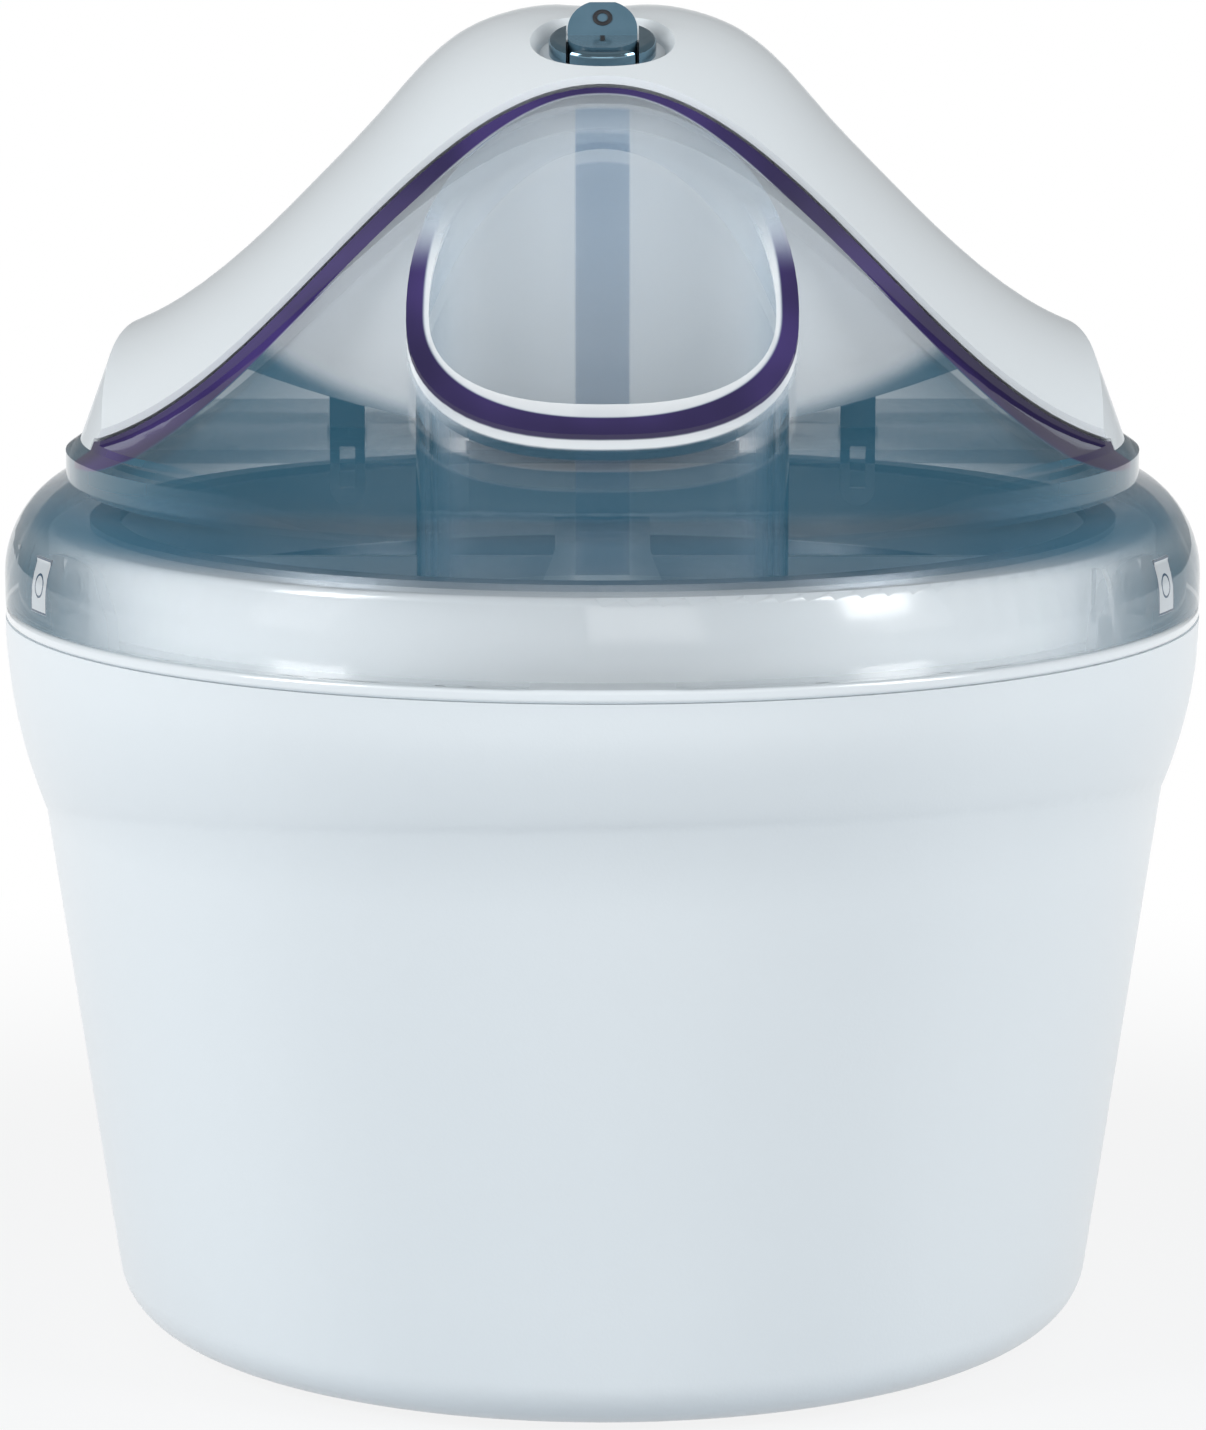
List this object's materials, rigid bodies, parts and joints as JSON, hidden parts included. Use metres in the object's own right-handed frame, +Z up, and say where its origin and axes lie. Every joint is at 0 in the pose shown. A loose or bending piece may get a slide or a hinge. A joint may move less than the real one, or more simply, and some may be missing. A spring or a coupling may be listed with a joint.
{
  "type": "ice cream maker",
  "caption": "Tapering bucket ice cream maker: lift-out freezer bowl, stirring paddle, clear hooded lid with filler chute, and a bridge motor unit with a rocker switch.",
  "frame": {"origin": "centre of the footprint on the table", "axes": "+Z up, front faces -Y"},
  "size_m": [0.225, 0.2251, 0.2499],
  "materials": {
    "white_plastic": "smooth gloss",
    "clear_plastic": "clear, blue tinted",
    "bowl_aluminium": "satin",
    "jacket_plastic": "fine grain",
    "coolant_gel": "gel",
    "black_rubber": "soft matt",
    "switch_bezel": "polished",
    "rocker_plastic": "polished",
    "contact_brass": "bright",
    "winding_copper": "enamelled winding",
    "steel": "brushed",
    "gear_plastic": "moulded",
    "lead_cover": "insulation",
    "paddle_plastic": "smooth"
  },
  "bodies": {
    "housing": {"housing": "white_plastic", "rubber_feet": "black_rubber"},
    "freezer_bowl": {"bowl_jacket": "jacket_plastic", "fill_plug": "black_rubber", "bowl_liner": "bowl_aluminium", "coolant_fill": "coolant_gel", "bowl_collar": "white_plastic", "bowl_seal": "black_rubber"},
    "lid": {"lid": "clear_plastic"},
    "motor_unit": {"motor_cover": "white_plastic", "motor_base": "white_plastic", "switch_body": "switch_bezel", "switch_terminals": "contact_brass", "output_bush": "contact_brass", "shaft_seal": "black_rubber", "idler_pin": "steel", "gear_plate": "steel", "motor_can": "steel", "motor_coil": "winding_copper", "cord_gland": "black_rubber", "lead_wires": "lead_cover", "case_screws": "steel", "plate_screws": "steel", "motor_screws": "steel"},
    "rocker": {"rocker": "rocker_plastic"},
    "rotor": {"rotor": "steel", "motor_pinion": "gear_plastic"},
    "idler": {"idler_gear": "gear_plastic"},
    "output": {"output_gear": "gear_plastic", "output_shaft": "steel"},
    "paddle": {"paddle": "paddle_plastic"}
  },
  "joints": [
    {"name": "bowl_lift", "type": "slide", "parent": "housing", "child": "freezer_bowl", "axis": [0, 0, 1], "range_m": [0, 0.16]},
    {"name": "lid_lift", "type": "slide", "parent": "freezer_bowl", "child": "lid", "axis": [0, 0, 1], "range_m": [0, 0.14]},
    {"name": "motor_lift", "type": "slide", "parent": "lid", "child": "motor_unit", "axis": [0, 0, 1], "range_m": [0, 0.06]},
    {"name": "rocker_tilt", "type": "hinge", "parent": "motor_unit", "child": "rocker", "pos_m": [0, -0.01411, 0.24402], "axis": [1, 0, 0], "range_deg": [-32, 0]},
    {"name": "paddle_turn", "type": "hinge", "parent": "lid", "child": "paddle", "pos_m": [0, 0, 0.1], "axis": [0, 0, 1], "continuous": true},
    {"name": "output_turn", "type": "hinge", "parent": "motor_unit", "child": "output", "pos_m": [0, 0, 0.18], "axis": [0, 0, 1], "continuous": true},
    {"name": "idler_turn", "type": "hinge", "parent": "motor_unit", "child": "idler", "pos_m": [0.00798, 0.02579, 0.185], "axis": [0, 0, 1], "continuous": true},
    {"name": "rotor_turn", "type": "hinge", "parent": "motor_unit", "child": "rotor", "pos_m": [-0.01452, 0.02211, 0.2], "axis": [0, 0, 1], "continuous": true}
  ],
  "couplings": [
    {"joint": "output_turn", "follows": "paddle_turn", "ratio": 1},
    {"joint": "idler_turn", "follows": "paddle_turn", "ratio": -3.5},
    {"joint": "rotor_turn", "follows": "paddle_turn", "ratio": 13.125}
  ]
}
